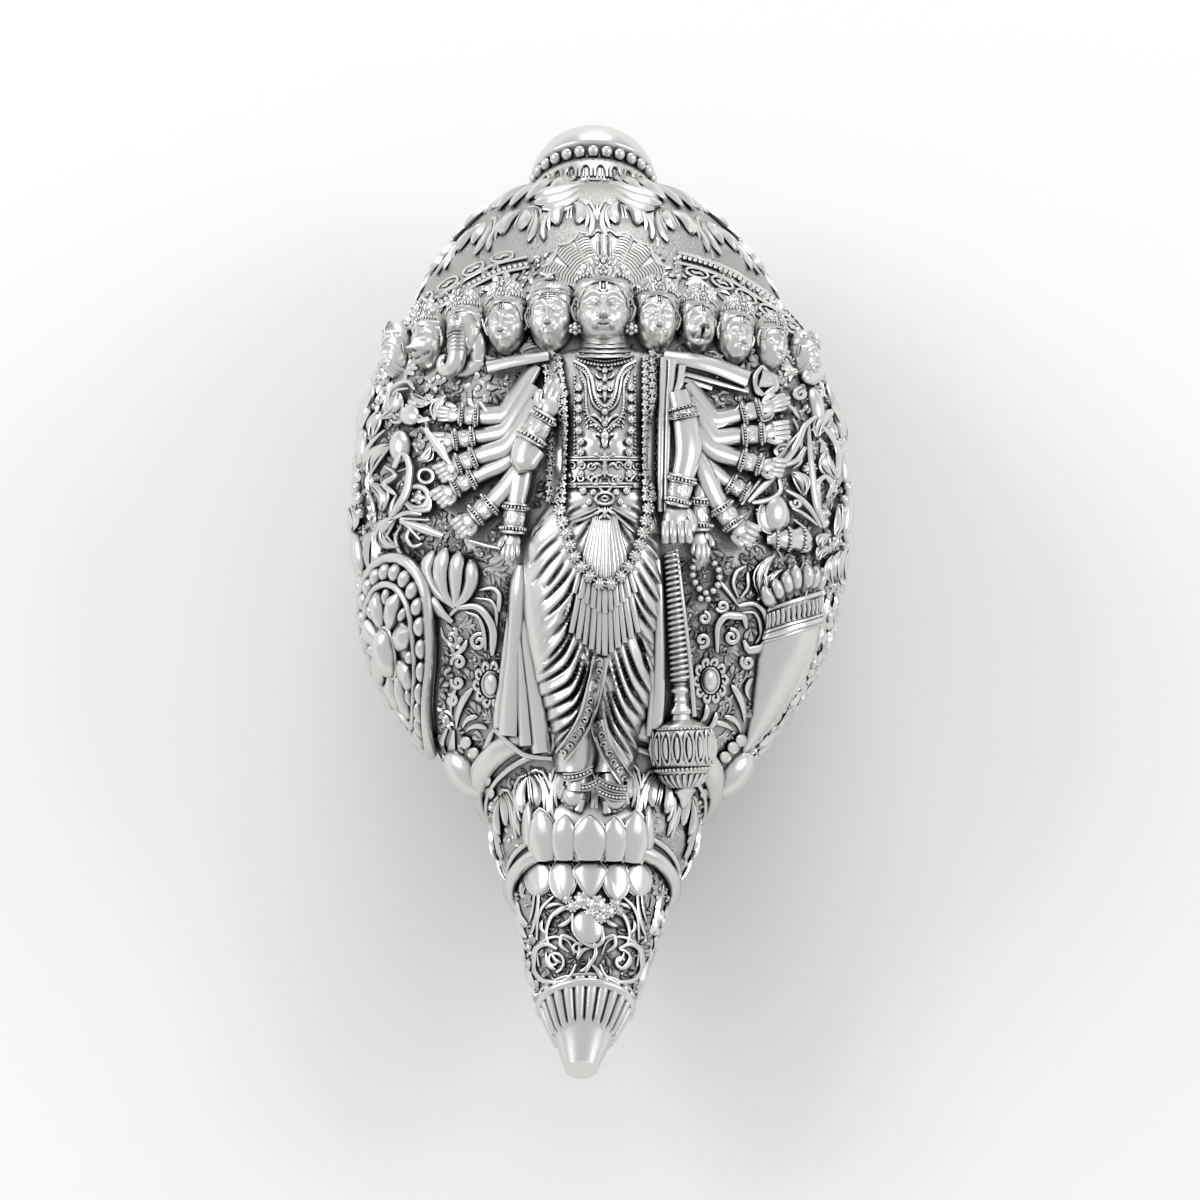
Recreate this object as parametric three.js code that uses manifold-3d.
// Conch-shaped cast idol: a shankha shell lying on its back, with a many-headed standing deity carved in high
// relief on its front, a wheel on its left flank and a small conch on its right flank.
// Millimetres. X runs across, Y along the shell from its tip to its crown knob, Z up out of the carved front.
// The origin is the centre of the flat spot on the back that the casting rests on.

import * as THREE from 'three';
import Module from 'manifold-3d';
import { mergeVertices } from 'three/addons/utils/BufferGeometryUtils.js';

const wasm = await Module();
wasm.setup();

// Driving sizes of the shell
const axisHeight = 43.5;
const frontDepthPerWidth = 0.86;
const backDepthPerWidth = 0.78;
const bowPerSquareMillimetre = 0.00022;
const bowCrown = 20;
const bowOffset = 0.3;
// Half width of the ground at stations along the axis, from the tip to the knob
const outline = [
  [-130.4, 3.8], [-121, 7.2], [-116.5, 9.4], [-112, 11.3], [-101, 14.6], [-90, 17.2],
  [-79, 19.2], [-72, 22.6], [-64, 24.8], [-57, 26.8], [-50, 32.8], [-40, 40], [-30, 46.8], [-19, 53.4],
  [-4, 58.2], [24, 61.4], [42, 60.2], [56, 57], [67, 52.6], [77, 46.8], [85, 42], [93, 37.6], [98, 33.4],
  [104, 27.4], [109, 20], [112, 16],
];
const tipBluntness = 1.1;

// The carving is laid out on a flat drawing whose square line leans this far towards the tip
const drawingLean = THREE.MathUtils.degToRad(26);
const towardsViewer = new THREE.Vector3(0, -Math.sin(drawingLean), Math.cos(drawingLean));
const rootDepth = 2.6;

// Driving sizes of the knob on the crown
const knob = {
  foot: 105, beadRing: 115.7, beadRadius: 1.6, capEdge: 118.4, capRadius: 15.5, top: 128.4, lean: 0.16,
};

// Rings that run round the shell, and the rows of leaves between them: place on the axis and size
const rings = [
  { y: -54.6, radius: 2 },
  { y: -74, radius: 1.9 },
  { y: -113, radius: 1 },
];
const leafRows = [
  { y: 103, length: 11, depth: 1.8 },
  { y: 89, length: 13, depth: 2 },
  { y: -64.4, length: 12, depth: 1.6 },
];
// How far a ring's plane leans out of square to the axis, tip to crown, as rise along the axis per depth
const ringLean = [[-130, 0.28], [-110, 0.26], [-52, 0.24], [-20, 0.04], [70, 0], [110, 0.14]];
const flutes = { count: 24, top: -114, bottom: -119.6, depth: 0.55 };

// Heads across the figure: place of the face's centre on the drawing, face width and height, crown height
const heads = [
  { kind: 'bearded', across: -51, up: 62.5, width: 8, height: 11, crown: 6 },
  { kind: 'muzzle', across: -42.5, up: 64.2, width: 9, height: 13, crown: 6 },
  { kind: 'elephant', across: -33.2, up: 65.2, width: 10.5, height: 14, crown: 7 },
  { kind: 'calm', across: -23.5, up: 68.2, width: 9.4, height: 14, crown: 6 },
  { kind: 'calm', across: -12.5, up: 69.6, width: 10.8, height: 15, crown: 4 },
  { kind: 'main', across: 1.2, up: 71.4, width: 12.8, height: 16.5, crown: 8 },
  { kind: 'calm', across: 13.8, up: 69, width: 10.4, height: 15, crown: 6 },
  { kind: 'lion', across: 24, up: 68, width: 9.4, height: 13.5, crown: 6 },
  { kind: 'calm', across: 33.4, up: 65.6, width: 9.2, height: 13, crown: 5 },
  { kind: 'calm', across: 42.2, up: 63, width: 8.2, height: 11, crown: 4.5 },
  { kind: 'bearded', across: 50.4, up: 56.8, width: 8, height: 11, crown: 6 },
];

// Figure: its centre line on the drawing, and the heights where its parts begin
const figureCentre = 1.2;
const neckHeight = 62;
const waistHeight = 30;
const hemHeight = -40;
const torsoEdges = [[61, 5], [58.5, 12], [52, 12.4], [42, 10], [34, 9.6], [27, 12.4], [22, 14]];
const skirtLeft = [[26, -11.5], [15.5, -18], [0, -19.8], [-15, -17.6], [-28, -14.4], [hemHeight, -10.6]];
const skirtRight = [[26, 13.6], [12, 15], [3, 15.8], [-10, 14.2], [-25, 12.4], [-34, 9.8], [hemHeight, 8.6]];
const skirtFolds = 8;

// Lotus under the feet
const lotus = {
  centre: -2.8, seam: -64.8, upperHeight: 11.4, lowerHeight: 8,
  offsets: [0, 6.9, -6.9, 12.6, -12.6], widths: [8.6, 7.6, 7.6, 6.2, 6.2],
};

// Small arms that fan out from behind the shoulders: elbow, wrist and end of the hand on the drawing
const leftArms = [
  [[-23.8, 47.5], [-36, 46.8], [-41.5, 47.6]],
  [[-25, 42.8], [-35.5, 40], [-43.5, 42.6]],
  [[-23.5, 38], [-34, 32.5], [-38, 31]],
  [[-23, 34.5], [-32, 28.5], [-40, 25.4]],
  [[-22.5, 28], [-28.5, 22], [-36.5, 15.4]],
  [[-20.4, 31], [-21.4, 21], [-21.8, 11]],
];
const rightArms = [
  [[29, 47.2], [38.4, 47.6], [46, 49]],
  [[30, 42], [38.4, 41.8], [46, 41.6]],
  [[28, 38], [37, 34.6], [43, 35.4]],
  [[27, 33.5], [34.6, 28.8], [38.6, 26]],
  [[26, 28], [31.4, 21.8], [38, 15.8]],
  [[25, 31], [25.3, 21.6], [25.6, 12]],
];
const leftFan = [-17, 45];
const rightFan = [21.5, 48.5];

// Mace, wheel, small conch, bosses
const mace = { top: [17.5, 22], collar: [19.8, -20], ball: [20.6, -36.6], ballRadius: 7.6, tip: [21, -49.4] };
const wheel = { y: -20, radius: 21, height: 3.4, petals: 8, perRadian: 49 };
const wheelTurns = [[-42, -95], [-36, -88], [-28, -79], [-20, -74], [-10, -69.5], [1, -66]];
const shellEmblem = { head: [50.5, -1.8], foot: [38, -34.5], radius: 8.2 };
const bosses = [{ across: -33.2, up: -43.4 }, { across: 32.8, up: -44 }];
const bossSize = { width: 7.4, height: 15, depth: 4.4 };
const rosettes = [{ across: -27.6, up: -21.4 }, { across: 27.3, up: -20.2 }];

// Round steps of the meshes
const frontColumns = 17;
const backColumns = 7;
const aroundLimb = 5;

// A smooth curve through stations that are sorted by their first value, with no overshoot between them
function curveThrough(stations) {
  const slope = (i) => (stations[i + 1][1] - stations[i][1]) / (stations[i + 1][0] - stations[i][0]);
  const tangents = stations.map((_, i) => {
    if (i === 0) return slope(0);
    if (i === stations.length - 1) return slope(i - 1);
    const [before, after] = [slope(i - 1), slope(i)];
    return before * after <= 0 ? 0 : (2 * before * after) / (before + after);
  });
  return (at) => {
    const last = stations.length - 1;
    if (at <= stations[0][0]) return stations[0][1];
    if (at >= stations[last][0]) return stations[last][1];
    let i = 0;
    while (stations[i + 1][0] < at) i += 1;
    const span = stations[i + 1][0] - stations[i][0];
    const t = (at - stations[i][0]) / span;
    const [a, b] = [stations[i][1], stations[i + 1][1]];
    return a * (1 + 2 * t) * (1 - t) ** 2 + b * t * t * (3 - 2 * t)
      + span * t * (1 - t) * (tangents[i] * (1 - t) - tangents[i + 1] * t);
  };
}

const halfWidth = curveThrough(outline);
const centreLine = (y) => bowOffset - bowPerSquareMillimetre * (y - bowCrown) ** 2;
const leanAt = curveThrough(ringLean);
const wheelTurnAt = curveThrough(wheelTurns);

// Outward direction of the ground at a point on it, in the shell's own frame with Z = 0 on the axis
function groundNormal(point) {
  const step = 0.5;
  const [y, width] = [point.y, halfWidth(point.y)];
  const widthSlope = (halfWidth(y + step) - halfWidth(y - step)) / (2 * step);
  const centreSlope = (centreLine(y + step) - centreLine(y - step)) / (2 * step);
  const ratio = point.z >= 0 ? frontDepthPerWidth : backDepthPerWidth;
  const x = point.x - centreLine(y);
  const z = point.z / ratio;
  return new THREE.Vector3(
    x / width ** 2,
    -(x * centreSlope) / width ** 2 - ((x * x + z * z) * widthSlope) / width ** 3,
    z / (width ** 2 * ratio),
  ).normalize();
}

// Point of the ground below a place on the drawing, raised along the drawing's square line
function onFront(across, up, lift = 0) {
  const depth = (y) => {
    const inside = 1 - ((across - centreLine(y)) / halfWidth(y)) ** 2;
    return inside > 0 ? frontDepthPerWidth * halfWidth(y) * Math.sqrt(inside) : 0;
  };
  const seenAt = (y) => Math.cos(drawingLean) * y + Math.sin(drawingLean) * depth(y);
  const step = 1.5;
  let low = outline[0][0];
  while (low < knob.foot && Math.abs(across - centreLine(low)) > halfWidth(low)) low += step;
  let high = low;
  while (high < knob.foot && seenAt(high) < up && seenAt(high + step) > seenAt(high)) high += step;
  low = Math.max(low, high - step);
  for (let i = 0; i < 20; i += 1) {
    const middle = (low + high) / 2;
    if (seenAt(middle) < up) low = middle;
    else high = middle;
  }
  return raised(new THREE.Vector3(across, high, depth(high)), lift, towardsViewer);
}

// Point of the ground at a turn from the front, in degrees with the right positive
function onTurn(turn, y, lift = 0) {
  const angle = THREE.MathUtils.degToRad(turn);
  const width = halfWidth(y);
  const ratio = Math.cos(angle) >= 0 ? frontDepthPerWidth : backDepthPerWidth;
  const point = new THREE.Vector3(
    centreLine(y) + width * Math.sin(angle), y, ratio * width * Math.cos(angle));
  return raised(point, lift);
}

// Point of a leaning ring: the same as a point at a turn, with its place along the axis shifted by its depth
function onRing(turn, y, lift = 0) {
  return onTurn(turn, y + leanAt(y) * onTurn(turn, y).z, lift);
}

// A point of the ground raised along its normal or another line, with the ground's normal kept on it
function raised(point, lift, line) {
  const normal = groundNormal(point);
  const result = point.clone().addScaledVector(line ?? normal, lift);
  result.normal = normal;
  return result;
}

// A geometry from points and faces, with its faces turned to point out
function closedGeometry(points, faces) {
  let volume = 0;
  for (const [a, b, c] of faces) volume += points[a].dot(points[b].clone().cross(points[c]));
  const outward = volume < 0 ? faces.map(([a, b, c]) => [a, c, b]) : faces;
  const geometry = new THREE.BufferGeometry();
  geometry.setFromPoints(points);
  geometry.setIndex(outward.flat());
  return geometry;
}

// A closed skin over rings of points, with a pole at each end
function skin(ringPoints, firstPole, lastPole) {
  const count = ringPoints[0].length;
  const points = [firstPole, ...ringPoints.flat(), lastPole];
  const faces = [];
  const at = (ring, i) => 1 + ring * count + (i % count);
  for (let i = 0; i < count; i += 1) {
    faces.push([0, at(0, i + 1), at(0, i)]);
    for (let ring = 0; ring < ringPoints.length - 1; ring += 1) {
      faces.push([at(ring, i), at(ring, i + 1), at(ring + 1, i)]);
      faces.push([at(ring + 1, i), at(ring, i + 1), at(ring + 1, i + 1)]);
    }
    faces.push([points.length - 1, at(ringPoints.length - 1, i), at(ringPoints.length - 1, i + 1)]);
  }
  return closedGeometry(points, faces);
}

// A raised patch of relief: a grid of places, each with a height, closed by walls and a sunk underside
function patch(columns, rows, place, heightAt) {
  const top = [];
  const under = [];
  for (let j = 0; j <= rows; j += 1) {
    for (let i = 0; i <= columns; i += 1) {
      const [s, t] = [i / columns, j / rows];
      top.push(place(s, t, heightAt(s, t)));
      under.push(place(s, t, -rootDepth));
    }
  }
  const points = [...top, ...under];
  const at = (i, j) => j * (columns + 1) + i;
  const sunk = top.length;
  const faces = [];
  for (let j = 0; j < rows; j += 1) {
    for (let i = 0; i < columns; i += 1) {
      const [a, b, c, d] = [at(i, j), at(i + 1, j), at(i + 1, j + 1), at(i, j + 1)];
      faces.push([a, b, c], [a, c, d], [a + sunk, c + sunk, b + sunk], [a + sunk, d + sunk, c + sunk]);
    }
  }
  const border = [];
  for (let i = 0; i < columns; i += 1) border.push(at(i, 0));
  for (let j = 0; j < rows; j += 1) border.push(at(columns, j));
  for (let i = columns; i > 0; i -= 1) border.push(at(i, rows));
  for (let j = rows; j > 0; j -= 1) border.push(at(0, j));
  border.forEach((a, k) => {
    const b = border[(k + 1) % border.length];
    faces.push([b, a, a + sunk], [b, a + sunk, b + sunk]);
  });
  return closedGeometry(points, faces);
}

// A turned solid about the line between two points, from [distance, radius] pairs along it
function turned(start, end, profile, sides) {
  const outlinePoints = profile.map(([along, radius]) => new THREE.Vector2(radius, along));
  const direction = new THREE.Vector3().subVectors(end, start).normalize();
  const turn = new THREE.Quaternion().setFromUnitVectors(new THREE.Vector3(0, 1, 0), direction);
  return new THREE.LatheGeometry(outlinePoints, sides).applyQuaternion(turn).translate(...start);
}

// A limb, leaf, cloth strip or tube: oval sections across a row of points, each [point, width, thickness]
function limb(stations, sides = aroundLimb) {
  const last = stations.length - 1;
  const along = (i) => new THREE.Vector3()
    .subVectors(stations[Math.min(i + 1, last)][0], stations[Math.max(i - 1, 0)][0]).normalize();
  const sections = stations.map(([point, width, thickness], i) => {
    const across = new THREE.Vector3().crossVectors(along(i), point.normal).normalize();
    const outward = new THREE.Vector3().crossVectors(across, along(i));
    return Array.from({ length: sides }, (_, k) => {
      const angle = (2 * Math.PI * k) / sides;
      return point.clone().addScaledVector(across, (width / 2) * Math.cos(angle))
        .addScaledVector(outward, (thickness / 2) * Math.sin(angle));
    });
  });
  const pole = (i, way) => stations[i][0].clone().addScaledVector(along(i), way * stations[i][2] * 0.35);
  return skin(sections, pole(0, -1), pole(last, 1));
}

// A ball stretched along the surface's own right, up and outward directions
function blob(centre, width, height, depth, segments = [6, 4]) {
  const geometry = new THREE.SphereGeometry(1, ...segments).scale(width / 2, height / 2, depth / 2);
  return geometry.applyMatrix4(standingFrame(centre));
}

// The frame of something that stands on the ground at a point: X right, Y towards the crown, Z outward
function standingFrame(point) {
  const outward = point.normal.clone();
  const right = new THREE.Vector3(0, 1, 0).cross(outward).normalize();
  const upward = new THREE.Vector3().crossVectors(outward, right);
  return new THREE.Matrix4().makeBasis(right, upward, outward).setPosition(point.x, point.y, point.z);
}

// The shell itself: oval sections about a bowed centre line, with rings, and leaves on every other column
function shellBody() {
  const plain = (y) => ({ y, rise: 0, scallop: 0 });
  const ringRows = rings.flatMap(({ y, radius }) => [
    plain(y - radius), { y, rise: radius, scallop: 0 }, plain(y + radius)]);
  const leaves = leafRows.flatMap(({ y, length, depth }) => [
    { y: y - length * 0.4, rise: 0, scallop: depth * 0.4 },
    { y: y + length * 0.2, rise: depth * 0.4, scallop: depth * 0.6 },
    plain(y + length * 0.42)]);
  const taken = (y) => [...ringRows, ...leaves].some((row) => Math.abs(row.y - y) < 3.4);
  const rows = [...outline.map(([y]) => y).filter((y) => !taken(y)).map(plain), ...ringRows, ...leaves]
    .sort((a, b) => a.y - b.y);
  const turns = [
    ...Array.from({ length: frontColumns }, (_, i) => -90 + (180 * i) / (frontColumns - 1)),
    ...Array.from({ length: backColumns }, (_, i) => 90 + (180 * (i + 1)) / (backColumns + 1)),
  ];
  const sections = rows.map(({ y, rise, scallop }) => turns.map((turn, i) => (
    onRing(turn, y, rise + (i % 2 ? scallop : 0)))));
  const tip = new THREE.Vector3(centreLine(rows[0].y), rows[0].y - tipBluntness, 0);
  const crown = new THREE.Vector3(centreLine(knob.beadRing), rows[rows.length - 1].y, 0);
  return [skin(sections, tip, crown)];
}

// The knob: a turned cap over a rounded bead ring and a foot, leaning a little towards the carved front
function crownKnob() {
  const { foot, beadRing, beadRadius, capEdge, capRadius, top } = knob;
  const profile = [
    [foot, 0], [foot, 18.2], [beadRing - beadRadius, 15], [beadRing, capRadius + beadRadius],
    [beadRing + beadRadius, 14.6], [capEdge, capRadius], [122, 14.2], [124.8, 12.1], [126.8, 9.2], [top, 0],
  ];
  const lean = new THREE.Matrix4().set(1, 0, 0, 0, 0, 1, knob.lean, 0, 0, 0, 1, 0, 0, 0, 0, 1);
  return [new THREE.LatheGeometry(profile.map(([y, r]) => new THREE.Vector2(r, y)), 18)
    .applyMatrix4(lean).translate(centreLine(beadRing), 0, 0)];
}

// The fluted collar above the plain tip
function flutedCollar() {
  const steps = flutes.count * 2;
  const section = (y, swell) => Array.from({ length: steps }, (_, i) => (
    onRing((360 * i) / steps, y, swell + (i % 2 === 0 ? flutes.depth : 0))));
  const poleAt = (y) => new THREE.Vector3(centreLine(y), y, 0);
  const sections = [section(flutes.bottom, 0.2), section(flutes.top, 0.4)];
  return [skin(sections, poleAt(flutes.bottom), poleAt(flutes.top))];
}

// One head with its crown, and the trunk, snout or beard that its kind has
function head({ kind, across, up, width, height, crown }) {
  const proud = kind === 'main' ? 3.4 : 2;
  const frame = standingFrame(onFront(across, up, proud));
  const local = (geometry) => geometry.applyMatrix4(frame);
  const face = new THREE.SphereGeometry(1, 6, 4).scale(width / 2, height / 2, width * 0.46);
  const crownProfile = [[0, 0], [0, 0.54], [1, 0.36], [1.1, 0]]
    .map(([y, r]) => new THREE.Vector2(r * width, y * crown));
  const cap = new THREE.LatheGeometry(crownProfile, 6).translate(0, height * 0.3, 0);
  const forms = [local(face), local(cap)];
  if (kind === 'elephant') {
    const trunk = [[0, 0.3, 4.6], [0.8, -3.5, 5], [0.6, -8.5, 5], [-2.6, -11.4, 4.4], [-6, -9.8, 3.4]];
    forms.push(limb(trunk.map(([x, y, wide]) => [onFront(across + x, up + y, 5.4), wide, wide])));
  }
  if (kind === 'muzzle' || kind === 'lion') {
    forms.push(local(new THREE.SphereGeometry(1, 5, 3).scale(2.6, 2.8, 2.6).translate(0, -2.4, width * 0.4)));
  }
  if (kind === 'bearded') {
    const beard = new THREE.ConeGeometry(3, 8, 4).rotateX(Math.PI);
    forms.push(local(beard.translate(0, -height * 0.6, width * 0.22)));
  }
  return forms;
}

// The fan of hoods behind the main head
function hoodFan() {
  const reach = 21.5;
  const inner = 0.25;
  const hoods = 7;
  const place = (s, t, lift) => {
    const angle = Math.PI * (0.1 + 0.8 * s);
    const radius = reach * (inner + (1 - inner) * t) * (1 - 0.07 * Math.abs(Math.cos(Math.PI * hoods * s)));
    return onFront(figureCentre - radius * Math.cos(angle), 72 + radius * 0.86 * Math.sin(angle), lift);
  };
  return [patch(2 * hoods, 1, place, (s) => 1.7 + 0.7 * Math.cos(2 * Math.PI * hoods * s))];
}

// Chest, belly and neck
function torso() {
  const halfAt = curveThrough([...torsoEdges].reverse());
  const [top, bottom] = [torsoEdges[0][0], torsoEdges[torsoEdges.length - 1][0]];
  const upAt = (t) => bottom + (top - bottom) * t;
  const place = (s, t, lift) => onFront(figureCentre + (2 * s - 1) * halfAt(upAt(t)), upAt(t), lift);
  const height = (s, t) => {
    const round = Math.sqrt(Math.max(0, 1 - (2 * s - 1) ** 2));
    const chest = 1.3 * Math.exp(-(((upAt(t) - 48) / 6) ** 2)) * Math.abs(Math.sin(2 * Math.PI * s));
    return 0.8 + 6.4 * round + chest;
  };
  const neckAt = (up) => onFront(figureCentre, up, 3);
  const neck = limb([[neckAt(neckHeight - 3), 9, 9], [neckAt(neckHeight + 5), 8, 9]], 7);
  return [patch(6, 5, place, height), neck];
}

// Skirt with curved folds over both thighs and a valley between the shins
function skirt() {
  const leftAt = curveThrough([...skirtLeft].reverse());
  const rightAt = curveThrough([...skirtRight].reverse());
  const top = skirtLeft[0][0];
  const upAt = (t) => hemHeight + (top - hemHeight) * t;
  const place = (s, t, lift) => {
    const up = upAt(t);
    return onFront(leftAt(up) + (rightAt(up) - leftAt(up)) * s, up, lift);
  };
  const height = (s, t) => {
    const legs = Math.abs(Math.sin(2 * Math.PI * (s - 0.02))) ** 0.7;
    const single = Math.sqrt(Math.max(0, 1 - (2 * s - 1) ** 2));
    const blend = THREE.MathUtils.smoothstep(t, 0.35, 0.85);
    const body = (1 - blend) * legs + blend * single;
    const fold = Math.cos(2 * Math.PI * (skirtFolds * t + 2.4 * Math.abs(s - 0.5)));
    return 0.6 + (5 + 2.4 * t) * body + 0.6 * fold * Math.min(1, 4 * s, 4 * (1 - s));
  };
  return [patch(8, 2 * skirtFolds, place, height)];
}

// Middle pleats that fall from the belt, with a stepped hem, and the belt itself
function pleatsAndBelt() {
  const pleats = 4;
  const place = (s, t, lift) => {
    const up = 21 - 33 * t;
    const spread = 2.6 + 6.4 * t;
    const bow = 3.6 * Math.cos(Math.PI * (s - 0.5)) * t;
    return onFront(figureCentre + (2 * s - 1) * spread - 0.6 * t, up - bow, lift);
  };
  const pleat = (s) => (Math.round(s * 2 * pleats) % 2 ? 0.9 : 0);
  const fan = patch(2 * pleats, 2, place, (s, t) => 8.4 - 1.4 * t + pleat(s));
  const beltPlace = (s, t, lift) => (
    onFront(figureCentre + (2 * s - 1) * 11, waistHeight - 2 + 7 * (t - 0.5), lift));
  const belt = patch(4, 1, beltPlace, (s) => 2.2 + 6.4 * Math.sqrt(1 - 0.95 * (2 * s - 1) ** 2));
  return [fan, belt];
}

// The long garland that hangs to the thighs, and the cloth that hangs at both sides
function garlandAndScarves() {
  const steps = 8;
  const garland = Array.from({ length: steps + 1 }, (_, i) => {
    const turn = Math.PI * (i / steps);
    const end = i === 0 || i === steps;
    const up = end ? 59 : 25 - 22 * Math.sin(turn) ** 0.8;
    const lift = end ? 5 : 6.2 + 1.6 * Math.sin(turn);
    return [onFront(figureCentre + 0.4 - 10.8 * Math.cos(turn), up, lift), 2.8, 2.8];
  });
  const fall = (...stations) => (
    limb(stations.map(([across, up, width, lift]) => [onFront(across, up, lift), width, 2.6])));
  return [
    limb(garland, 4),
    fall([-22.2, 7, 3.6, 1.4], [-22, -12, 5.4, 1.4], [-21.4, -37, 9, 1]),
    fall([14.6, 54, 5, 2], [15, 40, 5.6, 2.4], [16, 23, 6.5, 2.4]),
    fall([14.6, -10, 2.6, 1.4], [14.4, -33, 4.6, 1.2]),
  ];
}

// The two front arms: one palm is raised, the other hand rests on the mace
function frontArms() {
  const p = (across, up, lift) => onFront(across, up, lift);
  const raisedArm = [
    [p(-11, 55, 3.4), 7, 6.4], [p(-17, 42, 3.6), 6.6, 6], [p(-20.4, 33.6, 4.4), 6.4, 6.4],
    [p(-18, 40, 6.6), 6, 5], [p(-15.6, 45.4, 7.4), 4.6, 4], [p(-14.6, 51.5, 8), 6.8, 3.2],
    [p(-14.8, 58.6, 7.4), 4.6, 1.8],
  ];
  const loweredArm = [
    [p(15.4, 56, 2.6), 7, 6.4], [p(21.5, 42, 3.2), 6.4, 6], [p(24, 31, 3.4), 6, 6],
    [p(21, 23.6, 4.8), 4.4, 4.2], [p(19.9, 17.4, 6.4), 6.2, 4.6], [p(19.6, 12.6, 6), 4.4, 3],
  ];
  return [limb(raisedArm.slice(0, 3)), limb(raisedArm.slice(2)), limb(loweredArm)];
}

// A small arm, bent at the elbow, with its hand
function fanArm(fan, [elbow, wrist, hand]) {
  const palm = elbow.map((_, i) => wrist[i] + 0.55 * (hand[i] - wrist[i]));
  return [limb([
    [onFront(...fan, 1.2), 4.2, 4], [onFront(...elbow, 2.4), 4.4, 4], [onFront(...wrist, 2.6), 3, 3],
    [onFront(...palm, 2.8), 4, 2.8], [onFront(...hand, 2.4), 2.4, 1.8],
  ], 5)];
}

// The bars over the shoulders that the small arms spring from
function shoulderBars() {
  const end = ([across, up, lift, width]) => [onFront(across, up, lift), width, width];
  const bar = (from, to) => limb([end(from), end(to)], 6);
  return [bar([-28, 57.6, 0.8, 3.4], [-12, 60, 1.6, 3.8]), bar([15, 60.6, 2, 4.4], [37, 55.6, 0.8, 4])];
}

function maceSolid() {
  const ball = onFront(...mace.ball, 3.6);
  const tip = onFront(...mace.tip, 1.6);
  const r = mace.ballRadius;
  return [
    limb([[onFront(...mace.top, 5), 2.6, 2.6], [onFront(...mace.collar, 5.4), 3.8, 3.8], [ball, 6, 6]]),
    turned(ball, tip, [[-5.2, 0], [-4.4, 4.6], [0, r], [4.8, 4.6], [8, 1.6], [12.4, 0]], 9),
  ];
}

// Upper petals stand up round the feet, lower ones hang
function lotusPetals() {
  const petal = (offset, low, high, width, lift) => limb([
    [onFront(lotus.centre + offset * 0.96, low, lift - 1.4), width * 0.7, 3],
    [onFront(lotus.centre + offset, (low + high) / 2, lift), width, 4],
    [onFront(lotus.centre + offset * 1.02, high, lift - 0.6), width * 0.3, 2],
  ], 5);
  const petals = lotus.offsets.flatMap((offset, i) => {
    const lift = 4 - 0.014 * offset * offset;
    return [
      petal(offset, lotus.seam, lotus.seam + lotus.upperHeight, lotus.widths[i], lift),
      petal(offset, lotus.seam - 0.6, lotus.seam - lotus.lowerHeight, lotus.widths[i], lift - 1.4),
    ];
  });
  const seat = blob(onFront(lotus.centre, lotus.seam + 6, 0.4), 27, 12, 8.6, [6, 4]);
  return [...petals, seat];
}

function feet() {
  return [[-5, -6.8], [3.6, 3.4]].map(([from, to]) => limb([
    [onFront(from, -40, 4.4), 5.6, 5.6], [onFront((from + to) / 2, -46.4, 4.6), 4.8, 5],
    [onFront(to, -50.6, 5.4), 5.4, 4.4],
  ]));
}

// The wheel on the left flank: a raised rim, petals and a hub, laid over the shell's curve
function flankWheel() {
  const point = (radius, angle, lift) => {
    const y = wheel.y + radius * Math.cos(angle);
    const away = THREE.MathUtils.radToDeg((radius * Math.sin(angle)) / wheel.perRadian);
    return onTurn(wheelTurnAt(y) + away, y, lift);
  };
  const sides = 16;
  const section = (radius, lift) => (
    Array.from({ length: sides }, (_, i) => point(radius, (2 * Math.PI * i) / sides, lift)));
  const { radius, height } = wheel;
  const disc = skin([
    section(radius, -rootDepth), section(radius, height), section(radius * 0.85, height * 0.5),
  ], point(0, 0, -rootDepth * 3), point(0, 0, height * 0.5));
  const petals = Array.from({ length: wheel.petals }, (_, i) => {
    const angle = (2 * Math.PI * i) / wheel.petals;
    return limb([[point(5, angle, 1), 3, 3], [point(12.6, angle, 1.4), 6, 4]], 4);
  });
  return [disc, ...petals, blob(point(0, 0, 1.6), 9, 9, 6, [6, 3])];
}

// The small conch on the right flank: a smooth tapered body under a collar
function flankConch() {
  const headPoint = onFront(...shellEmblem.head, 0.6);
  const footPoint = onFront(...shellEmblem.foot, 0);
  const length = headPoint.distanceTo(footPoint);
  const r = shellEmblem.radius;
  return [turned(headPoint, footPoint, [
    [-6, 0], [-4, r * 0.5], [0.4, r * 0.84], [2.4, r * 0.74], [8, r], [14, r * 0.94], [22, r * 0.62],
    [length, 1.6], [length + 1.4, 0],
  ], 9)];
}

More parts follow.
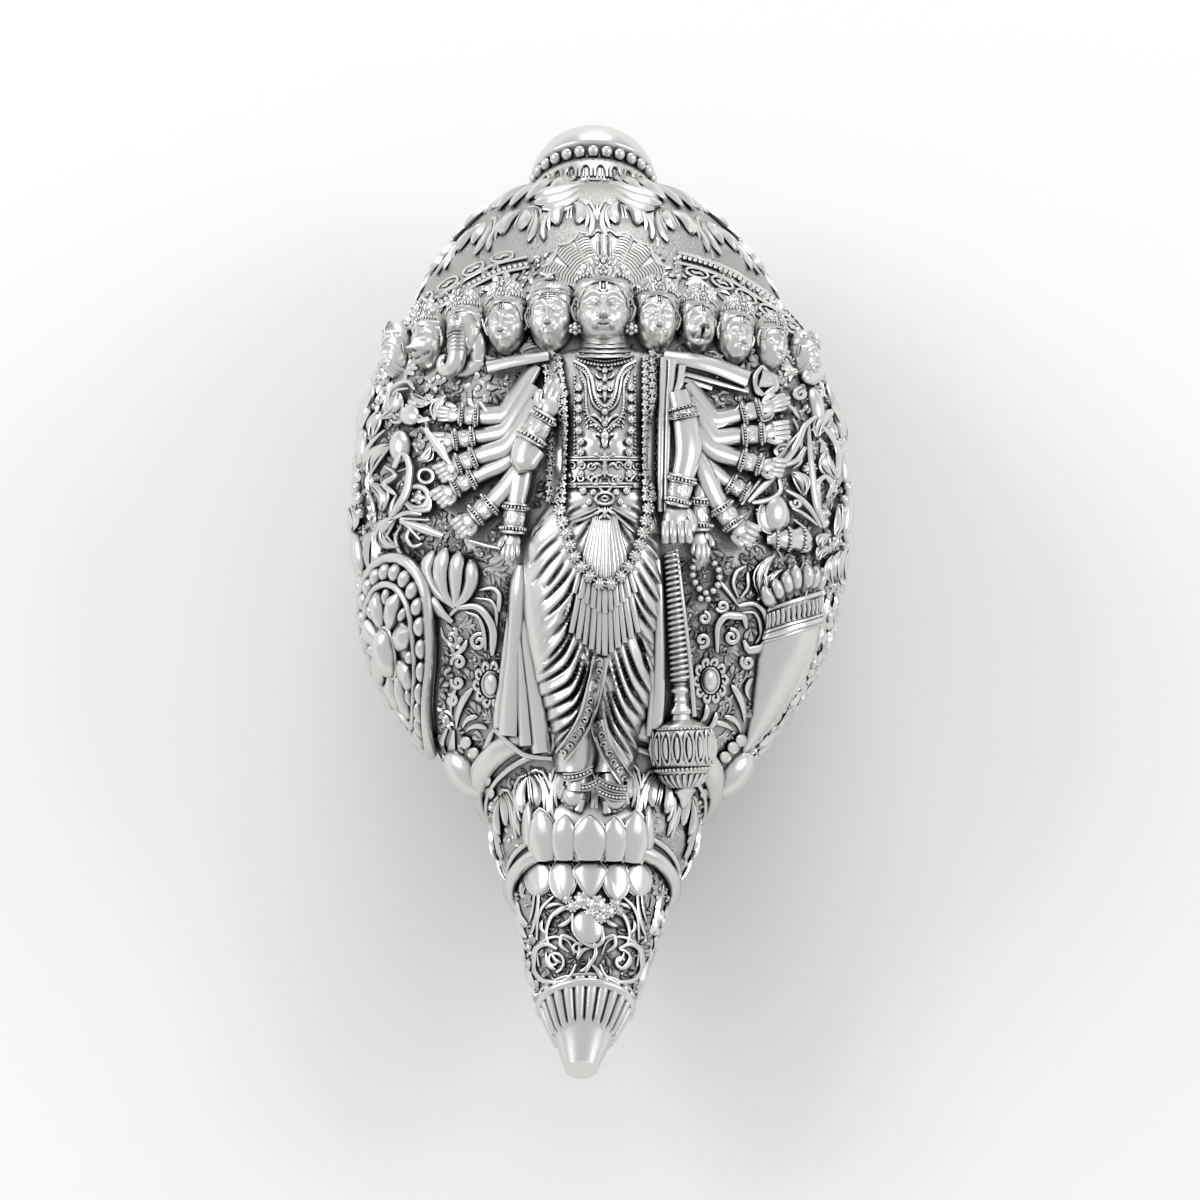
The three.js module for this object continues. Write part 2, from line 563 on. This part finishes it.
// Smooth lens bosses, flower centres, the tail's scrolls and its bud
function smallOrnaments() {
  const { width, height, depth } = bossSize;
  const lenses = bosses.map(({ across, up }) => (
    blob(onFront(across, up, 0.6), width * 1.5, height, depth * 2)));
  const flowers = rosettes.map(({ across, up }) => blob(onFront(across, up, 0.4), 9, 9.4, 3.4, [7, 4]));
  const tailScrolls = [-1, 1].map((side) => blob(onFront(-3.5 + side * 9.6, -89.8, 0.2), 6, 6, 2.6, [6, 3]));
  return [...lenses, ...flowers, ...tailScrolls, blob(onFront(-1.8, -80.5, 0.4), 7.5, 9, 3.4, [6, 3])];
}

// A closed mesh with shared corners, as a solid that can be joined or cut
function toSolid(geometry) {
  const bare = geometry.clone();
  bare.deleteAttribute('normal');
  bare.deleteAttribute('uv');
  const merged = mergeVertices(bare, 1e-4);
  return new wasm.Manifold(new wasm.Mesh({
    numProp: 3,
    vertProperties: new Float32Array(merged.attributes.position.array),
    triVerts: new Uint32Array(merged.index.array),
  }));
}

function toGeometry(solid) {
  const { vertProperties, triVerts } = solid.getMesh();
  const geometry = new THREE.BufferGeometry();
  geometry.setAttribute('position', new THREE.BufferAttribute(new Float32Array(vertProperties), 3));
  geometry.setIndex(new THREE.BufferAttribute(new Uint32Array(triVerts), 1));
  geometry.computeVertexNormals();
  return geometry;
}

// The whole casting, joined, then cut flat where it rests
function casting() {
  const forms = [
    ...shellBody(), ...crownKnob(), ...flutedCollar(), ...hoodFan(), ...heads.flatMap(head), ...torso(),
    ...skirt(), ...pleatsAndBelt(), ...garlandAndScarves(), ...frontArms(),
    ...leftArms.flatMap((arm) => fanArm(leftFan, arm)), ...rightArms.flatMap((arm) => fanArm(rightFan, arm)),
    ...shoulderBars(), ...maceSolid(), ...lotusPetals(), ...feet(), ...flankWheel(), ...flankConch(),
    ...smallOrnaments(),
  ];
  const joined = forms.map(toSolid).reduce((whole, form) => whole.add(form));
  const below = new THREE.BoxGeometry(200, 400, 40).translate(0, 0, -axisHeight - 20);
  return toGeometry(joined.subtract(toSolid(below))).translate(0, 0, axisHeight);
}

const antiqueSilver = new THREE.MeshStandardMaterial({ color: 0xb9b9b7, metalness: 1, roughness: 0.32 });
const idol = new THREE.Mesh(casting(), antiqueSilver);
idol.name = 'conch_idol';

const object = new THREE.Group();
object.add(idol);

export default object;
